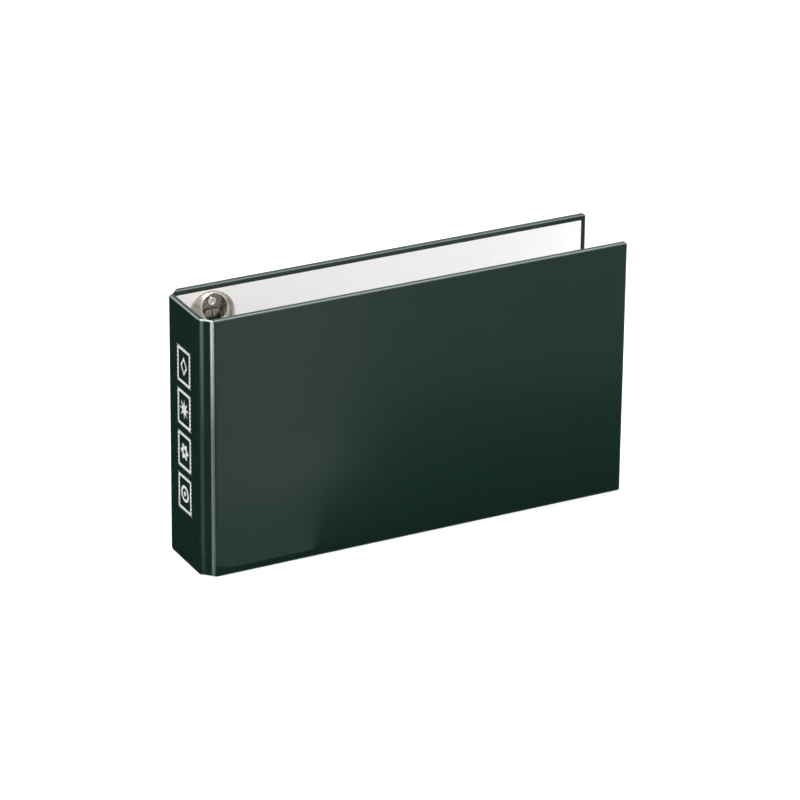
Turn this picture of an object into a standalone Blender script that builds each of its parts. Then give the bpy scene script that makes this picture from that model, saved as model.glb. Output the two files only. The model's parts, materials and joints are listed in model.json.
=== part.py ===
"""Landscape two-ring binder, standing on its bottom edge with the covers closed.

Three stiff boards (front, spine, back) share one outer laminated sheet and one white lining.
Between the spine and each cover the sheet spans a narrow flexible strip with a crease along
each side, so a cover turns through 90 degrees in two equal bends. A ring mechanism is riveted
inside the back cover: an arched housing holds two hinge plates by their outer edges, each
plate carries one half of both D-shaped rings, and the two plates tip together.

Frame: +X from the spine to the fore-edge, +Y from the front cover to the back cover, +Z up,
origin under the middle of the object.
"""

import math

import bmesh
import bpy
from mathutils import Vector

MM = 0.001

# Driving dimensions
LENGTH = 250.0 * MM
HEIGHT = 146.0 * MM
COVERS_THICKNESS = 48.0 * MM
SPINE_WIDTH = 37.6 * MM

# Layers of a cover, from the outside in
SHEET = 0.4 * MM
GAP = 0.3 * MM
BOARD = 1.5 * MM
LINING = 0.3 * MM
LINING_RECESS = 0.1 * MM
TURN_IN_MARGIN = 3.0 * MM
EDGE_ROUNDING = 0.7 * MM
STRIP_LIFT = 0.3 * MM

# How far a cutter runs past what it cuts
OVERRUN = 1.0 * MM

# Ring mechanism
RING_SPACING = 80.0 * MM
HOUSING_CENTRE_FROM_SPINE = 25.5 * MM
HOUSING_RADIUS = 13.0 * MM
HOUSING_END_BELOW_TOP = 3.6 * MM
HOUSING_SHEET = 0.7 * MM
SKIRT_HEIGHT = 1.8 * MM
CREST_HEIGHT = 7.2 * MM
DISH_BELOW_TOP = 10.8 * MM
DISH_FLOOR_RADIUS = 6.3 * MM
DISH_SLOPE = 0.24
TONGUE_OPENING_HEIGHT = 5.66 * MM
RIVET_BELOW_TOP = 8.9 * MM
PLATE_THICKNESS = 0.8 * MM
PLATE_UNDERSIDE = 1.05 * MM
PLATE_REACH = 11.4 * MM
PLATE_CENTRE_GAP = 0.4 * MM
PLATE_END_BELOW_TOP = 20.5 * MM
TONGUE_END_BELOW_TOP = 13.2 * MM
TONGUE_WIDTH = 4.6 * MM
TONGUE_CLEARANCE = 0.7 * MM
PLATE_CORNER = 2.5 * MM

# Rings: distances across are from the middle of the housing, heights from its base
WIRE_RADIUS = 1.5 * MM
LEG_FOOT_HEIGHT = 2.5 * MM
CURVE_CENTRE = (0.5 * MM, 18.0 * MM)
CURVE_RADIUS = 13.0 * MM
CURVE_FROM, CURVE_TO = math.radians(190.0), math.radians(85.6)
CURVE_STEPS = 15
POST_ACROSS = 9.5 * MM
POST_CORNER = 5.5 * MM
POST_CORNER_STEPS = 7
RING_TOP = 31.0 * MM
STRAIGHT_HALF_END = 1.8 * MM
NOTCH_CLEARANCE = 0.45 * MM
NOTCH_INNER_END = {-1: 8.0 * MM, 1: 7.2 * MM}

# Tubular rivets
SHANK_RADIUS = 1.7 * MM
BORE_RADIUS = 1.25 * MM
ROLL_RADIUS = 2.45 * MM
ROLL_HEIGHT = 0.8 * MM
HEAD_RADIUS = 4.5 * MM
HEAD_HEIGHT = 1.0 * MM
HEAD_RIM = 0.3 * MM
RIVET_SEGMENTS = 24
DISH_SEGMENTS = 32

# Worked out from the driving dimensions
COVER = SHEET + GAP + BOARD + GAP + SHEET
HEAD_STANDS_PROUD = GAP + HEAD_HEIGHT
FRONT, BACK = -1, 1
SPINE_X = -LENGTH / 2
FORE_X = LENGTH / 2
STRIP_OFFSET = (COVERS_THICKNESS - SPINE_WIDTH) / 2
CREASE_X = SPINE_X + STRIP_OFFSET
MIDDLE_Y = -HEAD_STANDS_PROUD / 2
MIDDLE_Z = HEIGHT / 2
HOUSING_X = SPINE_X + HOUSING_CENTRE_FROM_SPINE
HOUSING_DEPTH = COVER - LINING_RECESS + GAP
PLATE_PIVOT_HEIGHT = PLATE_UNDERSIDE + PLATE_THICKNESS / 2
RINGS = {"upper": MIDDLE_Z + RING_SPACING / 2, "lower": MIDDLE_Z - RING_SPACING / 2}
ENDS = {"upper": 1, "lower": -1}


# ---------------------------------------------------------------- scene and materials

def clear_scene():
    for item in list(bpy.data.objects):
        bpy.data.objects.remove(item)


def principled(name, colour, roughness, metallic=0.0):
    material = bpy.data.materials.new(name)
    material.use_nodes = True
    shader = material.node_tree.nodes["Principled BSDF"]
    shader.inputs["Base Color"].default_value = (*colour, 1.0)
    shader.inputs["Roughness"].default_value = roughness
    shader.inputs["Metallic"].default_value = metallic
    return material


def make_materials():
    return {
        "laminate": principled("green_laminate", (0.020, 0.042, 0.034), 0.42),
        "greyboard": principled("greyboard", (0.34, 0.31, 0.27), 0.9),
        "lining": principled("white_lining", (0.87, 0.87, 0.86), 0.7),
        "nickel": principled("nickel", (0.66, 0.62, 0.56), 0.25, 1.0),
    }


# ---------------------------------------------------------------- places

def cover_y(side, depth):
    """World Y of a point that lies depth inside the outer face of the front or back cover."""
    return MIDDLE_Y + side * (COVERS_THICKNESS / 2 - depth)


def spine_corner(side):
    """The crease between the spine and a hinge strip, on the outer skin."""
    return Vector((SPINE_X, MIDDLE_Y + side * SPINE_WIDTH / 2, 0.0))


def cover_corner(side):
    """The crease between a hinge strip and its cover, on the outer skin."""
    return Vector((CREASE_X, cover_y(side, 0.0), 0.0))


def mechanism_y(height):
    """World Y of a point at a height above the plane that the housing rests on."""
    return cover_y(BACK, HOUSING_DEPTH + height)


def plate_pivot(sign):
    """Where the housing holds the outer edge of a hinge plate; sign -1 is the spine side."""
    return Vector((HOUSING_X + sign * PLATE_REACH, mechanism_y(PLATE_PIVOT_HEIGHT), 0.0))


# ---------------------------------------------------------------- making solids

def pivot(name, location, parent=None):
    """An empty on a joint's axis. The pieces that turn about it are its children."""
    empty = bpy.data.objects.new(name, None)
    bpy.context.scene.collection.objects.link(empty)
    empty.parent = parent
    offset = Vector(parent["place"]) if parent else Vector((0.0, 0.0, 0.0))
    empty.location = location - offset
    empty["place"] = list(location)
    return empty


def finish_mesh(name, mesh_builder, parent, material=None, smooth_angle=None):
    """Turns a bmesh in world coordinates into an object whose origin is its parent's."""
    place = Vector(parent["place"])
    bmesh.ops.translate(mesh_builder, verts=mesh_builder.verts, vec=-place)
    bmesh.ops.recalc_face_normals(mesh_builder, faces=mesh_builder.faces)
    mesh = bpy.data.meshes.new(name)
    mesh_builder.to_mesh(mesh)
    mesh_builder.free()
    if smooth_angle is not None:
        mesh.shade_smooth()
        mesh.set_sharp_from_angle(angle=math.radians(smooth_angle))
    item = bpy.data.objects.new(name, mesh)
    bpy.context.scene.collection.objects.link(item)
    item.parent = parent
    if material:
        mesh.materials.append(material)
    return item


def block(low, high):
    """A bmesh box between two corners, given in any order."""
    shape = bmesh.new()
    bmesh.ops.create_cube(shape, size=1.0)
    low, high = Vector(low), Vector(high)
    size = high - low
    centre = (low + high) / 2
    for vertex in shape.verts:
        vertex.co = centre + Vector(abs(s) * c for s, c in zip(size, vertex.co))
    return shape


def loft(loops, close_ends=True):
    """Joins equal-length loops of points with quads and closes the first and last loop."""
    shape = bmesh.new()
    rows = [[shape.verts.new(point) for point in loop] for loop in loops]
    count = len(loops[0])
    for below, above in zip(rows, rows[1:]):
        for i in range(count):
            j = (i + 1) % count
            shape.faces.new((below[i], below[j], above[j], above[i]))
    if close_ends:
        shape.faces.new(rows[0])
        shape.faces.new(rows[-1])
    return shape


def cylinder_along_y(x, z, radius, y0, y1, segments=RIVET_SEGMENTS):
    return cone_along_y(x, z, radius, y0, radius, y1, segments)


def cone_along_y(x, z, radius0, y0, radius1, y1, segments=RIVET_SEGMENTS):
    turns = [2 * math.pi * i / segments for i in range(segments)]
    ends = ((radius0, y0), (radius1, y1))
    return loft([[(x + r * math.cos(a), y, z + r * math.sin(a)) for a in turns] for r, y in ends])


def cutter(name, shape, parent):
    item = finish_mesh(name, shape, parent)
    item.hide_render = True
    item.display_type = "WIRE"
    return item


def cut(item, tool):
    modifier = item.modifiers.new("cut_" + tool.name, "BOOLEAN")
    modifier.operation = "DIFFERENCE"
    modifier.solver = "EXACT"
    modifier.object = tool


def round_edges(shape, wanted):
    """Rounds the edges for which wanted is true of their two ends."""
    edges = [e for e in shape.edges if wanted(e.verts[0].co, e.verts[1].co)]
    bmesh.ops.bevel(shape, geom=edges, offset=EDGE_ROUNDING, offset_type="OFFSET",
                    segments=3, profile=0.5, affect="EDGES", clamp_overlap=True)


# ---------------------------------------------------------------- covers

def both_at(a, b, axis, value):
    return abs(a[axis] - value) < 1e-6 and abs(b[axis] - value) < 1e-6


def cover_box(side, x0, x1, depth0, depth1, z0, z1):
    return block((x0, cover_y(side, depth0), z0), (x1, cover_y(side, depth1), z1))


def make_cover(side, name, body, materials):
    """One cover: the outer sheet folded over three edges, its board and its lining."""
    def is_folded_edge(a, b):
        return any(both_at(a, b, axis, value) for axis, value in ((2, 0.0), (2, HEIGHT), (0, FORE_X)))

    inset = SHEET + GAP
    shape = cover_box(side, CREASE_X, FORE_X, 0.0, COVER, 0.0, HEIGHT)
    round_edges(shape, is_folded_edge)
    wrap = finish_mesh(name + "_cover_wrap", shape, body, materials["laminate"], 40)

    hollow = cover_box(side, CREASE_X - OVERRUN, FORE_X - SHEET, SHEET, COVER - SHEET,
                       SHEET, HEIGHT - SHEET)
    window = cover_box(side, CREASE_X - OVERRUN, FORE_X - TURN_IN_MARGIN,
                       COVER - SHEET - GAP, COVER + OVERRUN,
                       TURN_IN_MARGIN, HEIGHT - TURN_IN_MARGIN)
    cut(wrap, cutter(name + "_board_space", hollow, body))
    cut(wrap, cutter(name + "_lining_space", window, body))

    board = cover_box(side, CREASE_X + GAP, FORE_X - inset, inset, inset + BOARD,
                      inset, HEIGHT - inset)
    board = finish_mesh(name + "_board", board, body, materials["greyboard"])

    lining_face = COVER - LINING_RECESS
    lining = cover_box(side, CREASE_X + GAP, FORE_X - TURN_IN_MARGIN - GAP,
                       lining_face - LINING, lining_face,
                       TURN_IN_MARGIN + GAP, HEIGHT - TURN_IN_MARGIN - GAP)
    lining = finish_mesh(name + "_lining", lining, body, materials["lining"])
    return wrap, board, lining


def make_spine(body, materials):
    """The spine: as a cover, but folded over at the top and bottom only."""
    half = SPINE_WIDTH / 2
    low_y, high_y = MIDDLE_Y - half, MIDDLE_Y + half
    inset = SHEET + GAP
    inner_x = SPINE_X + COVER

    def is_folded_edge(a, b):
        return both_at(a, b, 2, 0.0) and abs(a.x - b.x) < 1e-6 \
            or both_at(a, b, 2, HEIGHT) and abs(a.x - b.x) < 1e-6

    shape = block((SPINE_X, low_y, 0.0), (inner_x, high_y, HEIGHT))
    round_edges(shape, is_folded_edge)
    wrap = finish_mesh("spine_wrap", shape, body, materials["laminate"], 40)
    hollow = block((SPINE_X + SHEET, low_y - OVERRUN, SHEET),
                   (inner_x - SHEET, high_y + OVERRUN, HEIGHT - SHEET))
    window = block((inner_x - SHEET - GAP, low_y - OVERRUN, TURN_IN_MARGIN),
                   (inner_x + OVERRUN, high_y + OVERRUN, HEIGHT - TURN_IN_MARGIN))
    cut(wrap, cutter("spine_board_space", hollow, body))
    cut(wrap, cutter("spine_lining_space", window, body))

    board = block((SPINE_X + inset, low_y + GAP, inset),
                  (SPINE_X + inset + BOARD, high_y - GAP, HEIGHT - inset))
    finish_mesh("spine_board", board, body, materials["greyboard"])

    lining_x = inner_x - LINING_RECESS
    lining = block((lining_x - LINING, low_y + GAP, TURN_IN_MARGIN + GAP),
                   (lining_x, high_y - GAP, HEIGHT - TURN_IN_MARGIN - GAP))
    finish_mesh("spine_lining", lining, body, materials["lining"])


def make_hinge_strip(side, name, body, materials):
    """The flexible strip between spine and cover. Its ends lean back so that it clears both
    board edges when it is bent, and stays clear when it lies flat."""
    start = spine_corner(side)
    along = (cover_corner(side) - start).normalized()
    inward = Vector((-along.y, along.x, 0.0)) * (1 if side == FRONT else -1)
    width = (cover_corner(side) - start).length
    slack = GAP * math.sqrt(2.0)

    def layer(node, depth0, depth1, z0, z1, material):
        outline = [(depth0 + slack, depth0), (width - depth0 - slack, depth0),
                   (width - depth1 - slack, depth1), (depth1 + slack, depth1)]
        loops = [[start + along * s + inward * t + Vector((0.0, 0.0, z)) for s, t in outline]
                 for z in (z0, z1)]
        finish_mesh(node, loft(loops), body, material)

    layer(name + "_joint_wrap", 0.0, SHEET, STRIP_LIFT, HEIGHT - STRIP_LIFT, materials["laminate"])
    layer(name + "_joint_lining", SHEET + GAP, SHEET + GAP + LINING,
          TURN_IN_MARGIN + GAP, HEIGHT - TURN_IN_MARGIN - GAP, materials["lining"])


# ---------------------------------------------------------------- ring mechanism

def arch_height(inward):
    """Height of the housing's outer surface at a distance inward from its outline."""
    rise = CREST_HEIGHT - SKIRT_HEIGHT
    radius = (HOUSING_RADIUS ** 2 + rise ** 2) / (2 * rise)
    across = HOUSING_RADIUS - min(inward, HOUSING_RADIUS)
    return SKIRT_HEIGHT + math.sqrt(radius ** 2 - across ** 2) - (radius - rise)


def stadium(radius, height, steps=14):
    """A long loop with round ends, parallel to the housing's outline."""
    straight = MIDDLE_Z - HOUSING_END_BELOW_TOP - HOUSING_RADIUS
    loop = []
    for sign, first in ((1, 0.0), (-1, math.pi)):
        for i in range(steps + 1):
            turn = first + math.pi * i / steps
            x = HOUSING_X + radius * math.cos(turn)
            z = MIDDLE_Z + sign * straight + radius * math.sin(turn)
            loop.append((x, mechanism_y(height), z))
    return loop


def arch_solid(sheet, bottom):
    """The space under the housing's outer surface, or, with a sheet thickness, under its inner
    one, closed at the given bottom height."""
    steps = 8
    radius = HOUSING_RADIUS - sheet
    loops = [stadium(radius, bottom)]
    for step in range(steps + 1):
        inward = (HOUSING_RADIUS - sheet) * 0.97 * (step / steps) ** 1.5
        loops.append(stadium(radius - inward, arch_height(inward + sheet * 0.3) - sheet))
    return loft(loops)


def dish_z(end):
    return MIDDLE_Z + ENDS[end] * (MIDDLE_Z - DISH_BELOW_TOP)


def dish_cone(end, extra, low, high):
    """The round seat pressed into one end of the housing, widened by extra."""
    def radius(height):
        return DISH_FLOOR_RADIUS + extra + DISH_SLOPE * (height - HOUSING_SHEET)
    return cone_along_y(HOUSING_X, dish_z(end), radius(low), mechanism_y(low),
                        radius(high), mechanism_y(high), DISH_SEGMENTS)


def tongue_opening(end):
    """The space in the dish's wall that lets the hinge plates' tongues into the dish."""
    reach = TONGUE_WIDTH + TONGUE_CLEARANCE
    beyond_dish = DISH_FLOOR_RADIUS + 4.0 * MM
    return block((HOUSING_X - reach, mechanism_y(HOUSING_SHEET), dish_z(end)),
                 (HOUSING_X + reach, mechanism_y(TONGUE_OPENING_HEIGHT),
                  dish_z(end) - ENDS[end] * beyond_dish))


def leg_notch(sign, z, top):
    """The slot in the housing's long side that one leg of a ring comes out of and swings in."""
    half = WIRE_RADIUS + NOTCH_CLEARANCE
    low = PLATE_UNDERSIDE + PLATE_THICKNESS + 0.1 * MM
    return block((HOUSING_X + sign * (HOUSING_RADIUS + OVERRUN), mechanism_y(low), z - half),
                 (HOUSING_X + sign * NOTCH_INNER_END[sign], mechanism_y(top), z + half))


def make_housing(body, materials):
    above = CREST_HEIGHT + 2 * OVERRUN
    housing = finish_mesh("ring_housing", arch_solid(0.0, 0.0), body, materials["nickel"], 35)
    hollow = cutter("housing_hollow", arch_solid(HOUSING_SHEET, -OVERRUN), body)
    for end in ENDS:
        wall = dish_cone(end, HOUSING_SHEET, -2 * OVERRUN, above)
        cut(hollow, cutter(end + "_dish_wall_keep", wall, body))
    cut(housing, hollow)

    for end in ENDS:
        cut(housing, cutter(end + "_dish_space", dish_cone(end, 0.0, HOUSING_SHEET, above), body))
        cut(housing, cutter(end + "_tongue_opening", tongue_opening(end), body))
        rivet_hole(housing, end, "housing", HOUSING_DEPTH + HOUSING_SHEET, body)

    for ring, z in RINGS.items():
        for sign, side in ((-1, "spine"), (1, "fore")):
            cut(housing, cutter(ring + "_" + side + "_leg_notch", leg_notch(sign, z, above), body))


def make_hinge_plate(sign, name, body, materials):
    """One of the two plates under the arch. A tongue at each end reaches into the dish."""
    outer = HOUSING_X + sign * PLATE_REACH
    inner = HOUSING_X + sign * PLATE_CENTRE_GAP / 2
    tongue = HOUSING_X + sign * TONGUE_WIDTH
    tip = MIDDLE_Z - TONGUE_END_BELOW_TOP
    shoulder = MIDDLE_Z - PLATE_END_BELOW_TOP
    corner = PLATE_CORNER
    upper_half = [(outer, shoulder - corner), (outer - sign * corner, shoulder), (tongue, shoulder),
                  (tongue, tip - corner / 2), (tongue - sign * corner / 2, tip), (inner, tip)]
    lower_half = [(x, -z) for x, z in reversed(upper_half)]
    loops = [[(x, mechanism_y(height), MIDDLE_Z + z) for x, z in upper_half + lower_half]
             for height in (PLATE_UNDERSIDE, PLATE_UNDERSIDE + PLATE_THICKNESS)]
    finish_mesh(name, loft(loops), body, materials["nickel"])


def arc_points(centre, radius, first, last, steps):
    turns = [first + (last - first) * i / steps for i in range(steps + 1)]
    return [(centre[0] + radius * math.cos(a), centre[1] + radius * math.sin(a)) for a in turns]


def curved_half_path():
    """Centre line of the half ring on the spine side, as (across, height) from the foot up:
    a straight leg that runs on into a long arc."""
    arc = arc_points(CURVE_CENTRE, CURVE_RADIUS, CURVE_FROM, CURVE_TO, CURVE_STEPS)
    lean = math.tan(CURVE_FROM - math.pi)
    foot = (arc[0][0] + lean * (arc[0][1] - LEG_FOOT_HEIGHT), LEG_FOOT_HEIGHT)
    return [foot] + arc


def straight_half_path():
    """Centre line of the half ring on the fore-edge side: a straight post and a round corner."""
    centre = (POST_ACROSS - POST_CORNER, RING_TOP - POST_CORNER)
    arc = arc_points(centre, POST_CORNER, 0.0, math.pi / 2, POST_CORNER_STEPS)
    return [(POST_ACROSS, LEG_FOOT_HEIGHT)] + arc + [(STRAIGHT_HALF_END, RING_TOP)]


def make_half_ring(name, path, z, body, materials):
    place = Vector(body["place"])
    curve = bpy.data.curves.new(name, "CURVE")
    curve.dimensions = "3D"
    curve.bevel_depth = WIRE_RADIUS
    curve.bevel_resolution = 2
    curve.use_fill_caps = True
    spline = curve.splines.new("POLY")
    spline.points.add(len(path) - 1)
    for point, (across, height) in zip(spline.points, path):
        point.co = (*(Vector((HOUSING_X + across, mechanism_y(height), z)) - place), 1.0)
    spline.use_smooth = True
    curve.materials.append(materials["nickel"])
    item = bpy.data.objects.new(name, curve)
    bpy.context.scene.collection.objects.link(item)
    item.parent = body


# ---------------------------------------------------------------- rivets

def rivet_z(end):
    return MIDDLE_Z + ENDS[end] * (MIDDLE_Z - RIVET_BELOW_TOP)


def rivet_hole(item, end, name, depth, body):
    """A clear hole for the rivet's shank, from outside the cover to past the given depth."""
    hole = cylinder_along_y(HOUSING_X, rivet_z(end), SHANK_RADIUS + GAP,
                            cover_y(BACK, -OVERRUN), cover_y(BACK, depth + OVERRUN))
    cut(item, cutter(end + "_" + name + "_rivet_hole", hole, body))


def make_tube_rivet(end, body, materials):
    """A domed head outside the back cover, and a hollow shank rolled over in the dish."""
    seat = HOUSING_DEPTH + HOUSING_SHEET + GAP
    top = seat + ROLL_HEIGHT
    profile = []
    dome_steps = 5
    for i in range(dome_steps + 1):
        turn = math.pi / 2 * (1 - i / dome_steps)
        profile.append((HEAD_RADIUS * math.cos(turn),
                        -GAP - HEAD_RIM - (HEAD_HEIGHT - HEAD_RIM) * math.sin(turn)))
    roll_steps = 4
    roll = (ROLL_RADIUS - BORE_RADIUS) / 2
    profile += [(HEAD_RADIUS, -GAP), (SHANK_RADIUS, -GAP), (SHANK_RADIUS, seat),
                (ROLL_RADIUS - 0.1 * MM, seat)]
    for i in range(roll_steps + 1):
        turn = math.pi * i / roll_steps
        profile.append((ROLL_RADIUS - roll + roll * math.cos(turn),
                        top - roll * 0.8 + roll * 0.8 * math.sin(turn)))
    floor = SHEET + GAP
    profile += [(BORE_RADIUS, floor), (0.0, floor)]

    shape = bmesh.new()
    verts = [shape.verts.new((HOUSING_X + r, cover_y(BACK, depth), rivet_z(end)))
             for r, depth in profile]
    edges = [shape.edges.new(pair) for pair in zip(verts, verts[1:])]
    bmesh.ops.spin(shape, geom=verts + edges, cent=(HOUSING_X, 0.0, rivet_z(end)),
                   axis=(0.0, 1.0, 0.0), angle=2 * math.pi, steps=RIVET_SEGMENTS, use_merge=True)
    bmesh.ops.remove_doubles(shape, verts=shape.verts, dist=1e-6)
    finish_mesh(end + "_tube_rivet", shape, body, materials["nickel"], 35)


# ---------------------------------------------------------------- the whole binder

def build():
    clear_scene()
    materials = make_materials()
    spine = pivot("spine_pivot", Vector((0.0, 0.0, 0.0)))
    make_spine(spine, materials)

    bodies = {}
    for side, name in ((FRONT, "front"), (BACK, "back")):
        strip = pivot(name + "_joint_pivot", spine_corner(side), spine)
        cover = pivot(name + "_cover_pivot", cover_corner(side), strip)
        make_hinge_strip(side, name, strip, materials)
        bodies[name] = (cover, *make_cover(side, name, cover, materials))

    back, wrap, board, lining = bodies["back"]
    make_housing(back, materials)
    for end in ENDS:
        for item, layer in ((wrap, "wrap"), (board, "board"), (lining, "lining")):
            rivet_hole(item, end, layer, COVER, back)
        make_tube_rivet(end, back, materials)

    halves = {-1: ("spine_side", "curved", curved_half_path()),
              1: ("fore_side", "straight", straight_half_path())}
    for sign, (side, shape, path) in halves.items():
        plate = pivot(side + "_plate_pivot", plate_pivot(sign), back)
        make_hinge_plate(sign, side + "_hinge_plate", plate, materials)
        for ring, z in RINGS.items():
            make_half_ring(ring + "_ring_" + shape + "_half", path, z, plate, materials)


build()
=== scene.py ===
"""The looks of the landscape two-ring binder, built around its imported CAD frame.

The boxes of the frame's nodes and the positions of its joints place every piece. The
constants below shape the details. The covers and the spine are folded sheets round their
boards, the sheet bends at the four creases, the white lining runs over the board edges into
the joints, and the ring mechanism, its rings and its rivets are rebuilt finely in
nickel-plated steel.
"""

import json
import math
from collections import namedtuple

import bmesh
import bpy
from mathutils import Matrix, Vector


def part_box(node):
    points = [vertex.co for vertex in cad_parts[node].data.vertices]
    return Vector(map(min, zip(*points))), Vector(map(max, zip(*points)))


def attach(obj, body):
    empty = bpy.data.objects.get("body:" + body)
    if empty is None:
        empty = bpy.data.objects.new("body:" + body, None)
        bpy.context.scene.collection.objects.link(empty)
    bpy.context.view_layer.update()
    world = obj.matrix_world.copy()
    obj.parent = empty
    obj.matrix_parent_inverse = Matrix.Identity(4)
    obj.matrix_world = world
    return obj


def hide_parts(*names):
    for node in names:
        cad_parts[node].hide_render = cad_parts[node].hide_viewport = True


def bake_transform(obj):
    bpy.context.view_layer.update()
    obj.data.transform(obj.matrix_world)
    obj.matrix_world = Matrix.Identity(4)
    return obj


MM = 0.001

# Folded outer sheet, boards and lining
SHEET = 0.4 * MM
EDGE_RADIUS = 0.5 * MM
CREASE_RADIUS = 2.3 * MM
INNER_RADIUS = 0.5 * MM
CORNER_RADIUS = 1.3 * MM
SMALL_CORNER = 0.15 * MM
TURN_IN = 14.0 * MM
MITRE_STEP = 0.06 * MM
CREASE_FLAP = 0.8 * MM
FLAP_STEP = 2.0 * MM
VISIBLE_MARGIN = 3.0 * MM
PAPER = 0.15 * MM
PAPER_LIFT = 0.01 * MM
PAPER_STEP = 0.5 * MM
STEP_SHOULDER = 0.2 * MM
BOARD_CLEARANCE = 0.05 * MM
FACE_BORDER = 6.0 * MM
EDGE_STEPS = 12
INNER_STEPS = 6
BOARD_STEPS = 6

# Pale fold colour, from 0 to 1, and where it starts, peaks and ends. It is partly wear and partly a
# painted highlight along the top folds and the creases
TOP_WEAR_AND_HIGHLIGHT = 0.42
STRIP_TOP_WEAR_AND_HIGHLIGHT = 0.9
COVER_CREASE_WEAR_AND_HIGHLIGHT = 1.0
SPINE_CREASE_WEAR_AND_HIGHLIGHT = 0.145
WEAR_AND_HIGHLIGHT_REACH = 0.5 * MM
FOLD_WEAR_AND_HIGHLIGHT_DEPTH = 0.25 * MM
FOLD_WEAR_AND_HIGHLIGHT_SPREAD = 0.3 * MM
CREASE_WEAR_AND_HIGHLIGHT_DEPTHS = (0.25 * MM, 0.55 * MM)
SPINE_CREASE_REACH = (1.2 * MM, 2.6 * MM)
COVER_CREASE_REACH = (0.9 * MM, 1.9 * MM)
# Painted shade on the hinge plates and dish floors, and painted highlight on the rivets and dish rims
PLATE_PAINTED_SHADE = 0.9
RIVET_PAINTED_HIGHLIGHT = 0.7
RIM_HIGHLIGHT_SPREAD = 0.5 * MM

# Hinge strips
STRIP_THICKNESS = 0.8 * MM
STRIP_LIFT = 0.3 * MM
GROOVE_DEPTH = 0.35 * MM
GROOVE_RAMP = 2.2 * MM
BEND_WIDTH = 1.8 * MM
BEND_STEPS = 10
STRIP_STEPS = 8
FOLD_STEPS = 6

# Ring mechanism
OVERRUN = 1.0 * MM
PLATE_SHEET = 0.7 * MM
SKIRT_HEIGHT = 1.8 * MM
DISH_FROM_END = 7.2 * MM
DISH_FLOOR_RADIUS = 6.3 * MM
DISH_SLOPE = 0.24
OPENING_HALF_WIDTH = 5.3 * MM
OPENING_LENGTH = 10.3 * MM
OPENING_BELOW_CREST = 1.54 * MM
NOTCH_HALF_WIDTH = 1.95 * MM
NOTCH_BOTTOM = 1.95 * MM
NOTCH_INNER_END = {-1: 8.0 * MM, 1: 7.2 * MM}
TONGUE_LENGTH = 7.3 * MM
TONGUE_WIDTH = 4.6 * MM
PLATE_CORNER = 2.5 * MM

# Ring halves, as places across the mechanism and heights above the face it is riveted to
WIRE_RADIUS = 1.5 * MM
WIRE_CHAMFER = 0.25 * MM
WIRE_SIDES = 28
LEG_FOOT_HEIGHT = 2.5 * MM
CURVE_CENTRE = (0.5 * MM, 18.0 * MM)
CURVE_RADIUS = 13.0 * MM
CURVE_DEGREES = (190.0, 85.6)
CURVE_STEPS = 48
POST_ACROSS = 9.5 * MM
POST_CORNER = 5.5 * MM
POST_STEPS = 24
RING_TOP = 31.0 * MM
STRAIGHT_HALF_END = 1.8 * MM

# Tubular rivets
HOLE_RADIUS = 2.0 * MM
SHANK_RADIUS = 1.7 * MM
BORE_RADIUS = 1.2 * MM
ROLL_RADIUS = 2.45 * MM
HEAD_RIM = 0.35 * MM
RIVET_STEPS = 10

# Foil ornaments on the spine
STAMP_WIDTH = 16.3 * MM
STAMP_HEIGHT = 20.6 * MM
STAMP_PITCH = 24.3 * MM
STAMP_TOP_BELOW = 23.4 * MM
STAMP_BORDER = 1.9 * MM
STAMP_BITES = (7, 9)
BITE_RADIUS_PER_PITCH = 0.3
BITE_STEPS = 6
FOIL_THICKNESS = 0.02 * MM

# Studio
FLOOR_REACH = 6.0
GLOW_HEIGHT = 0.004

FRONT, BACK = -1, 1

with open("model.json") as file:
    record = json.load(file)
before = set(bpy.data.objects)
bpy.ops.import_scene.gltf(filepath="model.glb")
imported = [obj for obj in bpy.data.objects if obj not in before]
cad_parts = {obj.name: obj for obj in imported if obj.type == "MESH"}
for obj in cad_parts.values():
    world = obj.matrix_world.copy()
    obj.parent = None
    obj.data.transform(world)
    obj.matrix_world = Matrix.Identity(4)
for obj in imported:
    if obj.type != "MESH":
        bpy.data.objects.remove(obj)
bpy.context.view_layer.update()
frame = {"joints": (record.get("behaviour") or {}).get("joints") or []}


# ---------------------------------------------------------------- places, read from the frame

JOINTS = {j["name"]: Vector(j["pos_m"]) for j in frame["joints"]}
SPINE_LOW, SPINE_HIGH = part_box("spine_wrap")
FRONT_LOW, FRONT_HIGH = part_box("front_cover_wrap")
_, BACK_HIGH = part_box("back_cover_wrap")
HOUSING_LOW, HOUSING_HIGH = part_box("ring_housing")

COVER = FRONT_HIGH.y - FRONT_LOW.y
HEIGHT = FRONT_HIGH.z
CREASE_X = FRONT_LOW.x
FORE_X = FRONT_HIGH.x
SPINE_X = SPINE_LOW.x
HOUSING_X = (HOUSING_LOW.x + HOUSING_HIGH.x) / 2
HOUSING_RADIUS = (HOUSING_HIGH.x - HOUSING_LOW.x) / 2
HOUSING_BASE = HOUSING_HIGH.y
HOUSING_STRAIGHT = HOUSING_HIGH.z - HOUSING_RADIUS - HEIGHT / 2
CREST_HEIGHT = HOUSING_HIGH.y - HOUSING_LOW.y


def outer_y(side):
    return FRONT_LOW.y if side == FRONT else BACK_HIGH.y


def on_cover(side):
    """Turns (place along the cover, depth from its outer face, height) into a world point."""
    def place(p, depth, z):
        return Vector((p, outer_y(side) - side * depth, z))
    return place


def on_spine(p, depth, z):
    """Turns (place across the spine, depth from its outer face, height) into a world point."""
    return Vector((SPINE_X + depth, p, z))


def on_mechanism(x, height, z):
    """A world point at a height above the face that the ring mechanism is riveted to."""
    return Vector((x, HOUSING_BASE - height, z))


# ---------------------------------------------------------------- making meshes

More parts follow.
